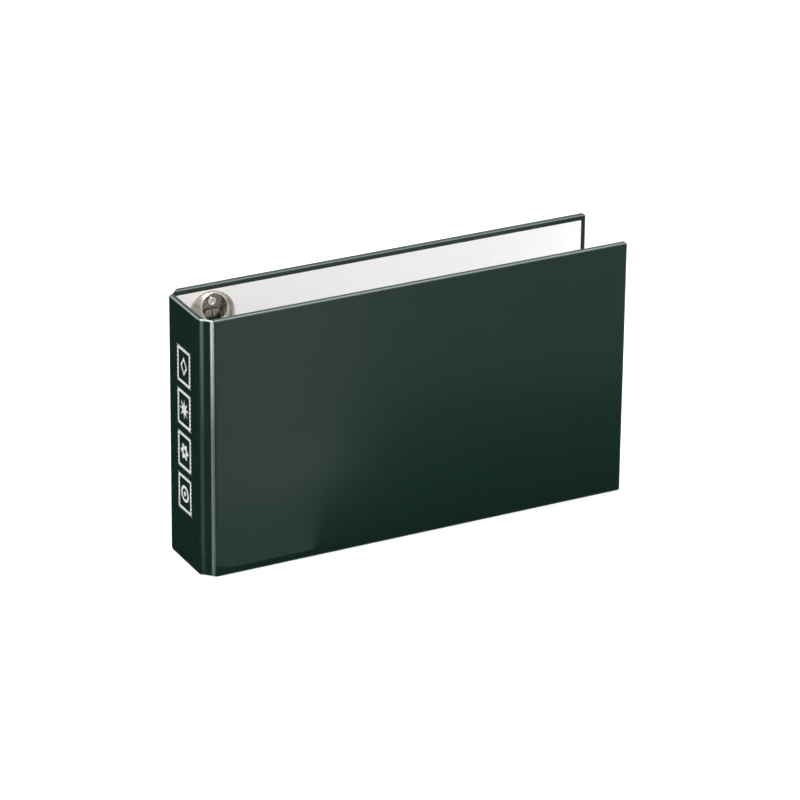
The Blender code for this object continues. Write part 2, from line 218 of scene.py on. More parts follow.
def make_piece(name, shape, material, smooth_angle=35):
    """Turns a bmesh into a smooth-shaded object with its faces pointing out."""
    bmesh.ops.recalc_face_normals(shape, faces=shape.faces)
    mesh = bpy.data.meshes.new(name)
    shape.to_mesh(mesh)
    shape.free()
    mesh.shade_smooth()
    mesh.set_sharp_from_angle(angle=math.radians(smooth_angle))
    mesh.materials.append(material)
    item = bpy.data.objects.new(name, mesh)
    bpy.context.scene.collection.objects.link(item)
    return item


def loft(loops, data=None):
    """Joins closed loops of points with quads and caps both ends. data gives each point (u, v, fold):
    the sheet's own flat coordinates, and how pale its fold is painted there, which is partly wear and
    partly a painted highlight."""
    shape = bmesh.new()
    uv_layer = shape.loops.layers.uv.new("sheet")
    fold_layer = shape.verts.layers.float.new("fold")
    rows = [[shape.verts.new(point) for point in loop] for loop in loops]
    marks = {}
    if data:
        for row, row_data in zip(rows, data):
            for vertex, (u, v, fold) in zip(row, row_data):
                marks[vertex] = (u, v)
                vertex[fold_layer] = fold
    count = len(loops[0])
    for low, high in zip(rows, rows[1:]):
        for i in range(count):
            j = (i + 1) % count
            shape.faces.new((low[i], low[j], high[j], high[i]))
    shape.faces.new(rows[0])
    shape.faces.new(rows[-1])
    for face in shape.faces:
        for corner in face.loops:
            corner[uv_layer].uv = marks.get(corner.vert, (0.0, 0.0))
    return shape


def rounded_rectangle(p0, p1, z0, z1, radius, steps=6):
    """Points round a rectangle, with the way out of it at each: (p, z, out_p, out_z, end).
    end is true on the half of each corner that belongs to the top or the bottom side."""
    points = []
    corners = ((p1, z1, 1, 1), (p0, z1, -1, 1), (p0, z0, -1, -1), (p1, z0, 1, -1))
    for quarter, (p, z, sign_p, sign_z) in enumerate(corners):
        for i in range(steps + 1):
            turn = math.pi / 2 * (quarter + i / steps)
            out_p, out_z = math.cos(turn), math.sin(turn)
            end = abs(out_z) > abs(out_p)
            points.append((p - sign_p * radius + radius * out_p,
                           z - sign_z * radius + radius * out_z, out_p, out_z, end))
    return points


def rounding(depth, radius):
    """How far a rounded edge has drawn back at a depth below the face."""
    if depth >= radius:
        return 0.0
    return radius - math.sqrt(max(radius ** 2 - (radius - depth) ** 2, 0.0))


def smoothstep(x, low, high):
    t = min(max((x - low) / (high - low), 0.0), 1.0)
    return t * t * (3 - 2 * t)


# ---------------------------------------------------------------- materials

class Nodes:
    """A short way to write a material's node tree."""

    def __init__(self, name):
        self.material = bpy.data.materials.new(name)
        self.material.use_nodes = True
        self.tree = self.material.node_tree
        self.shader = self.tree.nodes["Principled BSDF"]

    def add(self, kind, inputs=None, **settings):
        node = self.tree.nodes.new(kind)
        for key, value in settings.items():
            setattr(node, key, value)
        for key, value in (inputs or {}).items():
            if isinstance(value, bpy.types.NodeSocket):
                self.tree.links.new(value, node.inputs[key])
            else:
                node.inputs[key].default_value = value
        return node

    def link(self, output, socket):
        self.tree.links.new(output, self.shader.inputs[socket])

    def sheet_coordinates(self, scale):
        """The sheet's flat coordinates in metres, times a scale for each direction."""
        uv = self.add("ShaderNodeUVMap", uv_map="sheet").outputs["UV"]
        return self.add("ShaderNodeMapping", {"Vector": uv, "Scale": scale}).outputs["Vector"]

    def object_coordinates(self, scale):
        place = self.add("ShaderNodeTexCoord").outputs["Object"]
        return self.add("ShaderNodeMapping", {"Vector": place, "Scale": scale}).outputs["Vector"]

    def object_height(self):
        place = self.add("ShaderNodeTexCoord").outputs["Object"]
        return self.add("ShaderNodeSeparateXYZ", {"Vector": place}).outputs["Z"]

    def noise(self, vector, scale, detail=2.0, roughness=0.5):
        made = self.add("ShaderNodeTexNoise", {"Vector": vector, "Scale": scale,
                                               "Detail": detail, "Roughness": roughness})
        return made.outputs["Fac"]

    def remap(self, value, low, high, to_low, to_high):
        made = self.add("ShaderNodeMapRange", {"Value": value, "From Min": low, "From Max": high,
                                               "To Min": to_low, "To Max": to_high})
        return made.outputs["Result"]

    def math(self, operation, a, b):
        return self.add("ShaderNodeMath", {0: a, 1: b}, operation=operation).outputs["Value"]

    def mix_colour(self, factor, a, b):
        made = self.add("ShaderNodeMix", {"Factor": factor}, data_type="RGBA")
        for key, value in (("A", a), ("B", b)):
            socket = next(s for s in made.inputs if s.name == key and s.type == "RGBA")
            if isinstance(value, bpy.types.NodeSocket):
                self.tree.links.new(value, socket)
            else:
                socket.default_value = (*value, 1.0)
        return next(s for s in made.outputs if s.type == "RGBA")

    def bump(self, height, strength, distance):
        made = self.add("ShaderNodeBump", {"Height": height, "Strength": strength,
                                           "Distance": distance})
        self.link(made.outputs["Normal"], "Normal")


def laminate_material():
    """Green-black laminated sheet with a fine linen grain. It is painted pale along its folds, most
    of all near the top: partly wear, and partly a painted highlight standing in for lamp light on the
    rounded folds."""
    n = Nodes("green_laminate")
    across = n.noise(n.sheet_coordinates((2600.0, 210.0, 1.0)), 1.0, 2.0)
    along = n.noise(n.sheet_coordinates((210.0, 2600.0, 1.0)), 1.0, 2.0)
    linen = n.math("MAXIMUM", across, along)
    cloud = n.noise(n.sheet_coordinates((14.0, 14.0, 1.0)), 1.0, 3.0)
    grain = n.remap(linen, 0.42, 0.80, 0.0, 0.7)
    dark = n.mix_colour(cloud, (0.0021, 0.0162, 0.0112), (0.0028, 0.0186, 0.0133))
    green = n.mix_colour(grain, dark, (0.0048, 0.0240, 0.0175))
    fold = n.add("ShaderNodeAttribute", attribute_name="fold").outputs["Fac"]
    rub = n.noise(n.sheet_coordinates((260.0, 260.0, 1.0)), 1.0, 4.0, 0.65)
    # The painted highlight and wear on the folds grow stronger towards the top of the sheet.
    wear_and_highlight_by_height = n.remap(n.object_height(), 0.55 * HEIGHT, 0.92 * HEIGHT, 0.27, 1.0)
    patchy_wear_and_highlight = n.math("MULTIPLY", wear_and_highlight_by_height, n.remap(rub, 0.35, 0.7, 0.8, 1.0))
    fold_wear_and_highlight = n.math("MULTIPLY", fold, patchy_wear_and_highlight)
    # The pale grey-green is the colour of the painted highlight and wear on the folds.
    n.link(n.mix_colour(fold_wear_and_highlight, green, (0.57, 0.63, 0.605)), "Base Color")
    n.link(n.remap(grain, 0.0, 1.0, 0.33, 0.28), "Roughness")
    n.shader.inputs["Specular IOR Level"].default_value = 0.42
    n.bump(linen, 0.12, 0.00004)
    return n.material


def paper_material():
    """Smooth white lining paper with a faint fibre and a slightly uneven, glued-down surface."""
    n = Nodes("white_lining_paper")
    fibre = n.noise(n.object_coordinates((900.0, 900.0, 260.0)), 1.0, 4.0, 0.6)
    cloud = n.noise(n.object_coordinates((30.0, 30.0, 30.0)), 1.0, 2.0)
    white = n.mix_colour(cloud, (0.86, 0.855, 0.855), (0.89, 0.885, 0.885))
    n.link(n.mix_colour(n.remap(fibre, 0.45, 0.75, 0.0, 0.2), white, (0.76, 0.75, 0.745)),
           "Base Color")
    n.link(n.remap(fibre, 0.3, 0.7, 0.52, 0.64), "Roughness")
    n.shader.inputs["Specular IOR Level"].default_value = 0.35
    height = n.math("ADD", fibre, n.math("MULTIPLY", cloud, 3.0))
    n.bump(height, 0.12, 0.00005)
    return n.material


def greyboard_material():
    n = Nodes("greyboard")
    fleck = n.noise(n.object_coordinates((1200.0, 1200.0, 1200.0)), 1.0, 5.0, 0.7)
    layers = n.noise(n.object_coordinates((60.0, 4000.0, 60.0)), 1.0, 2.0)
    grey = n.mix_colour(fleck, (0.22, 0.20, 0.17), (0.44, 0.41, 0.36))
    n.link(n.mix_colour(n.math("MULTIPLY", layers, 0.4), grey, (0.18, 0.165, 0.145)), "Base Color")
    n.shader.inputs["Roughness"].default_value = 0.92
    n.bump(fleck, 0.4, 0.0001)
    return n.material


def nickel_material(name, roughness, brushed):
    """Nickel plate: warm grey metal with fine drawing marks, faint staining and smudges. It is
    darkened as painted shade by one attribute and brightened as a painted highlight by another."""
    n = Nodes(name)
    marks = n.noise(n.object_coordinates(brushed), 1.0, 3.0, 0.6)
    stain = n.noise(n.object_coordinates((150.0, 150.0, 150.0)), 1.0, 4.0, 0.6)
    metal = n.mix_colour(stain, (0.41, 0.38, 0.32), (0.57, 0.54, 0.48))
    spots = n.remap(n.noise(n.object_coordinates((700.0, 700.0, 700.0)), 1.0, 2.0),
                    0.66, 0.76, 0.0, 0.5)
    spotted = n.mix_colour(spots, metal, (0.30, 0.26, 0.20))
    # Painted shade mixes in a dark brown-grey; painted highlight turns the metal near white.
    painted_shade = n.add("ShaderNodeAttribute", attribute_name="painted_shade").outputs["Fac"]
    painted_highlight = n.add("ShaderNodeAttribute", attribute_name="painted_highlight").outputs["Fac"]
    with_painted_shade = n.mix_colour(n.math("MULTIPLY", painted_shade, 0.75), spotted, (0.15, 0.14, 0.10))
    n.link(n.mix_colour(painted_highlight, with_painted_shade, (0.93, 0.92, 0.88)), "Base Color")
    n.shader.inputs["Metallic"].default_value = 1.0
    blur = n.math("ADD", n.remap(stain, 0.3, 0.7, roughness * 0.8, roughness * 1.25),
                  n.remap(marks, 0.3, 0.7, 0.0, 0.05))
    n.link(blur, "Roughness")
    n.bump(marks, 0.08, 0.00002)
    return n.material


def foil_material():
    """Hot-stamped silver foil: pale, slightly broken where it sits on the linen grain."""
    n = Nodes("silver_foil")
    weave = n.noise(n.object_coordinates((1.0, 1500.0, 1500.0)), 1.0, 2.0)
    pale = n.mix_colour(weave, (0.76, 0.77, 0.76), (0.90, 0.91, 0.90))
    pits = n.remap(n.noise(n.object_coordinates((1.0, 2600.0, 2600.0)), 1.0, 2.0),
                   0.70, 0.78, 0.0, 0.6)
    n.link(n.mix_colour(pits, pale, (0.25, 0.28, 0.27)), "Base Color")
    n.shader.inputs["Metallic"].default_value = 0.35
    n.link(n.remap(weave, 0.3, 0.7, 0.34, 0.50), "Roughness")
    n.bump(weave, 0.15, 0.00004)
    return n.material


LAMINATE = laminate_material()
PAPER_WHITE = paper_material()
GREYBOARD = greyboard_material()
NICKEL = nickel_material("nickel_housing", 0.24, (1400.0, 1400.0, 60.0))
WIRE_NICKEL = nickel_material("nickel_wire", 0.16, (300.0, 300.0, 2500.0))
FOIL = foil_material()


# ---------------------------------------------------------------- covers and spine

Panel = namedtuple("Panel", "name place near far far_is_crease crease_wear")


def folded_sheet(panel):
    """The outer sheet round one board, as nested rounded rectangles from the middle of the outer
    face, over the edges and back along the inside of the turn-ins. A ring says how far it is drawn in
    at the near crease, the far edge and both ends, its depth, and how pale its fold is painted, which
    is partly wear and partly a painted highlight."""
    far_radius = CREASE_RADIUS if panel.far_is_crease else EDGE_RADIUS
    rings = [(FACE_BORDER, FACE_BORDER, FACE_BORDER, 0.0, 0.0),
             (CREASE_RADIUS + WEAR_AND_HIGHLIGHT_REACH, far_radius + WEAR_AND_HIGHLIGHT_REACH, EDGE_RADIUS + WEAR_AND_HIGHLIGHT_REACH,
              0.0, 0.0)]
    # The top folds are painted pale: partly wear, partly a painted highlight where lamp light would
    # catch them.
    for i in range(EDGE_STEPS + 1):
        depth = CREASE_RADIUS * (1 - math.cos(math.pi / 2 * i / EDGE_STEPS))
        wear_and_highlight = TOP_WEAR_AND_HIGHLIGHT * math.exp(-((depth - FOLD_WEAR_AND_HIGHLIGHT_DEPTH) / FOLD_WEAR_AND_HIGHLIGHT_SPREAD) ** 2)
        rings.append((rounding(depth, CREASE_RADIUS), rounding(depth, far_radius),
                      rounding(depth, EDGE_RADIUS), depth, wear_and_highlight))
    for i in range(INNER_STEPS + 1):
        turn = math.pi / 2 * i / INNER_STEPS
        inset = INNER_RADIUS * (1 - math.cos(turn))
        rings.append((inset, inset, inset, COVER - INNER_RADIUS * (1 - math.sin(turn)),
                      TOP_WEAR_AND_HIGHLIGHT * i / INNER_STEPS))
    for flap in (CREASE_FLAP, FLAP_STEP, TURN_IN):
        far_flap = CREASE_FLAP if panel.far_is_crease else flap
        rings.append((CREASE_FLAP, far_flap, flap, COVER, 0.0))
    rings.append((CREASE_FLAP, far_flap, flap, COVER - SHEET, 0.0))
    for depth in (COVER - SHEET, SHEET):
        rings.append((SHEET, SHEET, SHEET, depth, 0.0))
    rings.append((FACE_BORDER, FACE_BORDER, FACE_BORDER, SHEET, 0.0))

    crease_reach = CREASE_RADIUS + WEAR_AND_HIGHLIGHT_REACH / 2
    loops, data = [], []
    length = 0.0
    for k, (near, far, end, depth, wear_and_highlight) in enumerate(rings):
        if k:
            last = rings[k - 1]
            length += math.hypot(end - last[2], depth - last[3])
        points = rounded_rectangle(panel.near + near, panel.far - far, end, HEIGHT - end,
                                   max(CORNER_RADIUS - end, SMALL_CORNER))
        on_flap = depth > COVER - PAPER_LIFT and end > INNER_RADIUS
        spread = length - FACE_BORDER + end
        crease_wear = 0.0
        # The creases are painted pale in the same way, partly wear and partly painted highlight.
        if depth < CREASE_RADIUS:
            crease_wear = panel.crease_wear * smoothstep(depth, *CREASE_WEAR_AND_HIGHLIGHT_DEPTHS)
        loop, marks = [], []
        for p, z, out_p, out_z, is_end in points:
            loop.append(panel.place(p, depth + (MITRE_STEP if on_flap and is_end else 0.0), z))
            at_near = p < panel.near + crease_reach
            at_far = panel.far_is_crease and p > panel.far - crease_reach
            in_crease = (at_near or at_far) and not is_end
            marks.append((p + out_p * spread, z + out_z * spread,
                          crease_wear if in_crease else wear_and_highlight))
        loops.append(loop)
        data.append(marks)
    return make_piece(panel.name + "_folded_sheet", loft(loops, data), LAMINATE)


def lining_profile(panel):
    """The lining's path through (place, depth): round the board's inner edge wherever it meets
    a joint, and flat up to the visible margin elsewhere. Each point carries its way out."""
    def round_edge(p, sign):
        turns = [math.pi / 2 * i / INNER_STEPS for i in range(INNER_STEPS + 1)]
        return [(p - sign * INNER_RADIUS * (1 - math.cos(turn)),
                 COVER - INNER_RADIUS * (1 - math.sin(turn)),
                 sign * math.cos(turn), math.sin(turn)) for turn in turns]

    near = round_edge(panel.near, -1)
    if panel.far_is_crease:
        return near + round_edge(panel.far, 1)[::-1]
    over_flap = [panel.far - TURN_IN + offset for offset in
                 (-3 * STEP_SHOULDER, -STEP_SHOULDER, STEP_SHOULDER, 3 * STEP_SHOULDER)]
    return near + [(p, COVER, 0.0, 1.0) for p in (*over_flap, panel.far - VISIBLE_MARGIN)]


def sheet_from_grid(name, outer, inner, material):
    """A thin closed sheet between two matching grids of points."""
    columns = len(outer[0])
    shape = bmesh.new()
    made = [[shape.verts.new(point) for point in outer_row + inner_row[::-1]]
            for outer_row, inner_row in zip(outer, inner)]
    for low, high in zip(made, made[1:]):
        for j in range(2 * columns):
            k = (j + 1) % (2 * columns)
            shape.faces.new((low[j], low[k], high[k], high[j]))
    for row in (made[0], made[-1]):
        for j in range(columns - 1):
            shape.faces.new((row[j], row[j + 1], row[-2 - j], row[-1 - j]))
    return make_piece(name, shape, material)


def lining(panel):
    """White paper over the inside of a board. It shows where the turn-ins end beneath it."""
    lower = [VISIBLE_MARGIN, VISIBLE_MARGIN + PAPER_STEP, TURN_IN - PAPER_STEP,
             TURN_IN - STEP_SHOULDER, TURN_IN + STEP_SHOULDER, TURN_IN + PAPER_STEP]
    heights = lower + [HEIGHT / 3, HEIGHT / 2, 2 * HEIGHT / 3] + [HEIGHT - z for z in lower[::-1]]

    def sunk(p, z):
        edges = [z, HEIGHT - z]
        if not panel.far_is_crease:
            edges.append(panel.far - p)
        return MITRE_STEP * smoothstep(min(edges), TURN_IN - PAPER_STEP, TURN_IN + PAPER_STEP)

    outer, inner = [], []
    for p, depth, out_p, out_depth in lining_profile(panel):
        face = out_depth > 0.99
        lift = PAPER_LIFT + (MITRE_STEP if face else 0.0)
        for grid, gap in ((outer, lift + PAPER), (inner, lift)):
            grid.append([panel.place(p + out_p * gap,
                                     depth - (sunk(p, z) if face else 0.0) + out_depth * gap, z)
                         for z in heights])
    return sheet_from_grid(panel.name + "_lining_paper", outer, inner, PAPER_WHITE)


def board(panel):
    """Greyboard core inside the folded sheet, with its edges eased where the sheet bends."""
    clearance = SHEET + BOARD_CLEARANCE
    loops = []
    for i in range(BOARD_STEPS + 1):
        below = (COVER - 2 * clearance) * i / BOARD_STEPS
        near = clearance + rounding(below, CREASE_RADIUS - clearance)
        far = near if panel.far_is_crease else clearance
        points = rounded_rectangle(panel.near + near, panel.far - far, clearance,
                                   HEIGHT - clearance, CORNER_RADIUS)
        loops.append([panel.place(p, clearance + below, z) for p, z, _, _, _ in points])
    return make_piece(panel.name + "_greyboard", loft(loops), GREYBOARD)


def build_panel(panel, nodes):
    """One cover or the spine, with the CAD nodes that its sheet, lining and board replace. Its
    near edge is always a crease."""
    body = panel.name
    wrap = folded_sheet(panel)
    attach(wrap, body)
    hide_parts(nodes[0])
    paper = lining(panel)
    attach(paper, body)
    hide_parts(nodes[1])
    core = board(panel)
    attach(core, body)
    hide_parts(nodes[2])


# ---------------------------------------------------------------- hinge strips

def strip_frame(side):
    """Where a hinge strip starts at the spine, the way along it, the way in, and its width."""
    name = "front" if side == FRONT else "back"
    start = JOINTS[name + "_spine_crease"].copy()
    end = JOINTS[name + "_cover_crease"].copy()
    start.z = end.z = 0.0
    along = (end - start).normalized()
    inward = Vector((-along.y, along.x, 0.0))
    if inward.dot(Vector((0.0, -side, 0.0))) < 0:
        inward = -inward
    return start, along, inward, (end - start).length


def strip_depth(s, width):
    """Depth of the strip's outer skin, which leaves the rounded board edges tangentially and
    dips into a shallow pressed groove."""
    tangent = CREASE_RADIUS * (math.sqrt(2.0) - 1.0)
    dip = smoothstep(s, 0.0, GROOVE_RAMP) * smoothstep(width - s, 0.0, GROOVE_RAMP)
    return tangent + GROOVE_DEPTH * dip


def strip_loop(side, s, skin_depth, thickness, z0, z1):
    """One cross-section of the strip: a tall thin loop with rounded top and bottom folds. Its last
    point marks how far the pale top fold, partly wear and partly a painted highlight, reaches down
    the outside."""
    start, along, inward, _ = strip_frame(side)
    radius = thickness / 2
    points = []
    for top, z in ((1, z1 - radius), (-1, z0 + radius)):
        for i in range(FOLD_STEPS + 1):
            turn = math.pi * i / FOLD_STEPS
            t = skin_depth + radius - top * radius * math.cos(turn)
            points.append(start + along * s + inward * t
                          + Vector((0.0, 0.0, z + top * radius * math.sin(turn))))
    points.append(points[0] - Vector((0.0, 0.0, WEAR_AND_HIGHLIGHT_REACH)))
    return points


def strip_part(name, side, s0, s1, steps, layer):
    """The part of a strip between two places along it, as skin or as white lining."""
    width = strip_frame(side)[3]
    loops, data = [], []
    for step in range(steps + 1):
        s = s0 + (s1 - s0) * step / steps
        skin = strip_depth(s, width)
        if layer == "skin":
            loop = strip_loop(side, s, skin, STRIP_THICKNESS, STRIP_LIFT, HEIGHT - STRIP_LIFT)
            # Pale bands at both creases and along the top fold: partly wear, partly a painted
            # highlight.
            wear_and_highlight = max(SPINE_CREASE_WEAR_AND_HIGHLIGHT * (1.0 - smoothstep(s, *SPINE_CREASE_REACH)),
                       COVER_CREASE_WEAR_AND_HIGHLIGHT * (1.0 - smoothstep(width - s, *COVER_CREASE_REACH)))
            wear_and_highlight_values = [max(wear_and_highlight, STRIP_TOP_WEAR_AND_HIGHLIGHT) if i <= FOLD_STEPS / 2 else wear_and_highlight
                     for i in range(len(loop))]
        else:
            loop = strip_loop(side, s, skin + STRIP_THICKNESS + PAPER_LIFT, PAPER,
                              VISIBLE_MARGIN, HEIGHT - VISIBLE_MARGIN)
            wear_and_highlight_values = [0.0] * len(loop)
        loops.append(loop)
        data.append([(SPINE_X + s, point.z, wear_and_highlight) for point, wear_and_highlight in zip(loop, wear_and_highlight_values)])
    return make_piece(name, loft(loops, data), LAMINATE if layer == "skin" else PAPER_WHITE)


def build_strip(side):
    """A hinge strip in three parts: one at the crease by the spine, one that rides the joint between
    the creases, and one at the crease by the cover. Only the middle part is attached to the joint;
    the two crease parts stay where they are built."""
    name = "front" if side == FRONT else "back"
    start, along, _, width = strip_frame(side)
    parts = (("spine_crease", 0.0, BEND_WIDTH, BEND_STEPS, "spine"),
             ("strip", BEND_WIDTH, width - BEND_WIDTH, STRIP_STEPS, None),
             ("cover_crease", width - BEND_WIDTH, width, BEND_STEPS, name + "_cover"))
    for part, s0, s1, steps, board_body in parts:
        for layer, slot, node in (("skin", "laminate", name + "_joint_wrap"),
                                  ("lining", "white_lining", name + "_joint_lining")):
            piece = strip_part("_".join((name, part, layer)), side, s0, s1, steps, layer)
            if board_body is None:
                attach(piece, name + "_joint")
                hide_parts(node)
            elif board_body == "spine":
                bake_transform(piece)
            else:
                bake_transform(piece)


# ---------------------------------------------------------------- foil ornaments

def perforated_outline(width, height, bites_across, bites_up):
    """A stamp's edge: a rectangle with round bites between square teeth."""
    points = []
    corners = (Vector((-width, -height)) / 2, Vector((width, -height)) / 2,
               Vector((width, height)) / 2, Vector((-width, height)) / 2)
    for k, (a, b) in enumerate(zip(corners, corners[1:] + corners[:1])):
        bites = bites_across if k % 2 == 0 else bites_up
        way = (b - a).normalized()
        side = Vector((-way.y, way.x))
        pitch = (b - a).length / bites
        radius = pitch * BITE_RADIUS_PER_PITCH
        points.append(a)
        for i in range(bites):
            centre = a + way * pitch * (i + 0.5)
            for j in range(BITE_STEPS + 1):
                turn = math.pi * j / BITE_STEPS
                points.append(centre - way * radius * math.cos(turn)
                              + side * radius * math.sin(turn))
    return points


def ring_outline(radius, count=28, pull=0.0, lobes=0):
    """A closed outline round a centre. With lobes it swings in and out, as a flower does."""
    points = []
    for i in range(count):
        angle = 2 * math.pi * i / count
        reach = radius * (1 + pull * math.cos(lobes * angle))
        points.append(Vector((reach * math.cos(angle), reach * math.sin(angle))))
    return points


def star_outline(radius, inner, rays):
    points = []
    for i in range(2 * rays):
        angle = math.pi / 2 + math.pi * i / rays
        reach = radius if i % 2 == 0 else inner
        points.append(Vector((reach * math.cos(angle), reach * math.sin(angle))))
    return points


def rectangle_outline(width, height):
    corners = ((-1, -1), (1, -1), (1, 1), (-1, 1))
    return [Vector((x * width / 2, y * height / 2)) for x, y in corners]


def ornament_shapes():
    """The plain figure inside each of the four stamps, from the top of the spine down."""
    lozenge = [Vector((0.0, 1.0)), Vector((0.72, 0.0)), Vector((0.0, -1.0)), Vector((-0.72, 0.0))]
    return (
        [[v * 5.4 * MM for v in lozenge], [v * 3.4 * MM for v in lozenge]],
        [star_outline(5.6 * MM, 2.3 * MM, 8)],
        [ring_outline(4.0 * MM, count=60, pull=0.22, lobes=6), ring_outline(1.3 * MM)],
        [ring_outline(4.7 * MM), ring_outline(3.1 * MM), ring_outline(1.4 * MM)],
    )


def foil_ornament(name, outlines, centre_y, centre_z):
    """Flat foil from nested outlines, which are filled and left open by turns."""
    curve = bpy.data.curves.new(name, "CURVE")
    curve.dimensions = "2D"
    curve.fill_mode = "BOTH"
    curve.extrude = FOIL_THICKNESS / 2
    for outline in outlines:
        spline = curve.splines.new("POLY")
        spline.points.add(len(outline) - 1)
        for point, place in zip(spline.points, outline):
            point.co = (place.x, place.y, 0.0, 1.0)
        spline.use_cyclic_u = True
    drawn = bpy.data.objects.new(name + "_outline", curve)
    bpy.context.scene.collection.objects.link(drawn)
    bpy.context.view_layer.update()
    graph = bpy.context.evaluated_depsgraph_get()
    mesh = bpy.data.meshes.new_from_object(drawn.evaluated_get(graph))
    bpy.data.objects.remove(drawn)
    facing = Matrix(((0, 0, -1, 0), (-1, 0, 0, 0), (0, 1, 0, 0), (0, 0, 0, 1)))
    lifted = SPINE_X - FOIL_THICKNESS / 2
    mesh.transform(Matrix.Translation((lifted, centre_y, centre_z)) @ facing)
    shape = bmesh.new()
    shape.from_mesh(mesh)
    bmesh.ops.remove_doubles(shape, verts=shape.verts, dist=1e-7)
    return make_piece(name, shape, FOIL, smooth_angle=20)


def build_foil():
    """Four perforated stamps down the spine, each with its own plain figure."""
    names = ("lozenge", "star", "flower", "target")
    middle_y = (SPINE_LOW.y + SPINE_HIGH.y) / 2
    for i, (name, figure) in enumerate(zip(names, ornament_shapes())):
        outlines = [perforated_outline(STAMP_WIDTH, STAMP_HEIGHT, *STAMP_BITES),
                    rectangle_outline(STAMP_WIDTH - 2 * STAMP_BORDER,
                                      STAMP_HEIGHT - 2 * STAMP_BORDER)] + figure
        z = HEIGHT - STAMP_TOP_BELOW - STAMP_HEIGHT / 2 - i * STAMP_PITCH
        piece = foil_ornament("foil_stamp_" + name, outlines, middle_y, z)
        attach(piece, "spine")


# ---------------------------------------------------------------- ring mechanism

def arch_height(inward):
    """Height of the housing's outer surface at a distance inward from its outline."""
    rise = CREST_HEIGHT - SKIRT_HEIGHT
    radius = (HOUSING_RADIUS ** 2 + rise ** 2) / (2 * rise)
    across = HOUSING_RADIUS - min(inward, HOUSING_RADIUS)
    return SKIRT_HEIGHT + math.sqrt(radius ** 2 - across ** 2) - (radius - rise)


def stadium(radius, height, steps=40):
    """A level outline of the housing, drawn in to a smaller end radius."""
    middle = HEIGHT / 2
    loop = []
    for sign, first in ((1, 0.0), (-1, math.pi)):
        for i in range(steps + 1):
            turn = first + math.pi * i / steps
            loop.append(on_mechanism(HOUSING_X + radius * math.cos(turn), height,
                                     middle + sign * HOUSING_STRAIGHT + radius * math.sin(turn)))
    return loop


def arch_solid(sheet, bottom):
    """The arch of the housing, drawn in by the thickness of its sheet. Its outlines crowd
    together near the skirt, where the arch is steepest."""
    radius = HOUSING_RADIUS - sheet
    loops = [stadium(radius, bottom)]
    steps = 22
    crowding = 1.4
    last = HOUSING_RADIUS - 0.6 * MM
    for i in range(steps + 1):
        inward = last * (i / steps) ** crowding
        if inward + sheet < last + 0.3 * MM:
            loops.append(stadium(radius - inward, arch_height(inward + sheet * 0.3) - sheet))
    return loft(loops)


def cone(x, z, r0, h0, r1, h1, segments=64):
    turns = [2 * math.pi * i / segments for i in range(segments)]
    return loft([[on_mechanism(x + r * math.cos(a), h, z + r * math.sin(a)) for a in turns]
                 for r, h in ((r0, h0), (r1, h1))])


def block(low, high):
    x0, h0, z0 = low
    x1, h1, z1 = high
    corners = ((x0, z0), (x1, z0), (x1, z1), (x0, z1))
    return loft([[on_mechanism(x, h, z) for x, z in corners] for h in (h0, h1)])


def carve(target, tools):
    """Cuts the tools out of the target and leaves one plain mesh."""
    for tool in tools:
        modifier = target.modifiers.new("cut", "BOOLEAN")
        modifier.operation = "DIFFERENCE"
        modifier.solver = "EXACT"
        modifier.object = tool
    graph = bpy.context.evaluated_depsgraph_get()
    target.data = bpy.data.meshes.new_from_object(target.evaluated_get(graph))
    target.modifiers.clear()
    for tool in tools:
        bpy.data.objects.remove(tool)


def soften(item, width, segments, angle):
    """Rounds an object's sharp edges a little and keeps its broad faces smooth."""
    bevel = item.modifiers.new("soft_edges", "BEVEL")
    bevel.width = width
    bevel.segments = segments
    bevel.limit_method = "ANGLE"
    bevel.angle_limit = math.radians(angle)
    bevel.harden_normals = False
    graph = bpy.context.evaluated_depsgraph_get()
    item.data = bpy.data.meshes.new_from_object(item.evaluated_get(graph))
    item.modifiers.clear()
    item.data.shade_smooth()
    item.data.set_sharp_from_angle(angle=math.radians(50))


def ends():
    """(name, direction towards that end, height of the housing's end) for both ends."""
    return (("upper", 1, HOUSING_HIGH.z), ("lower", -1, HOUSING_LOW.z))


def paint_evenly(piece, name, amount):
    """Gives every point of a piece the same painted shade or painted highlight."""
    layer = piece.data.attributes.new(name, "FLOAT", "POINT")
    layer.data.foreach_set("value", [amount] * len(piece.data.vertices))


def paint_dish_shade_and_rim_highlight(housing):
    """Painted shade on the floors of the two dishes, darker deeper down, and a painted highlight on
    the top surface round each rim.
    """
    painted_shade = housing.data.attributes.new("painted_shade", "FLOAT", "POINT")
    painted_highlight = housing.data.attributes.new("painted_highlight", "FLOAT", "POINT")
    edge = 0.2 * MM
    for vertex in housing.data.vertices:
        x, y, z = vertex.co
        height = HOUSING_BASE - y
        beyond = max(abs(z - HEIGHT / 2) - HOUSING_STRAIGHT, 0.0)
        inward = HOUSING_RADIUS - math.hypot(x - HOUSING_X, beyond)
        surface = arch_height(max(inward, 0.0))
        for _, sign, end_z in ends():
            reach = math.hypot(x - HOUSING_X, z - (end_z - sign * DISH_FROM_END))
            past_rim = reach - dish_radius(height)
            if past_rim > 6 * RIM_HIGHLIGHT_SPREAD:
                continue
            if past_rim < edge / 2 and height < surface - edge:
                painted_shade.data[vertex.index].value = 1.0 - smoothstep(height, PLATE_SHEET, surface)
            elif height > surface - edge:
                painted_highlight.data[vertex.index].value = math.exp(-(past_rim / RIM_HIGHLIGHT_SPREAD) ** 2)


def dish_radius(height):
    """Inner radius of a dish at a height. It widens a little from its floor to its rim."""
    return DISH_FLOOR_RADIUS + DISH_SLOPE * (height - PLATE_SHEET)


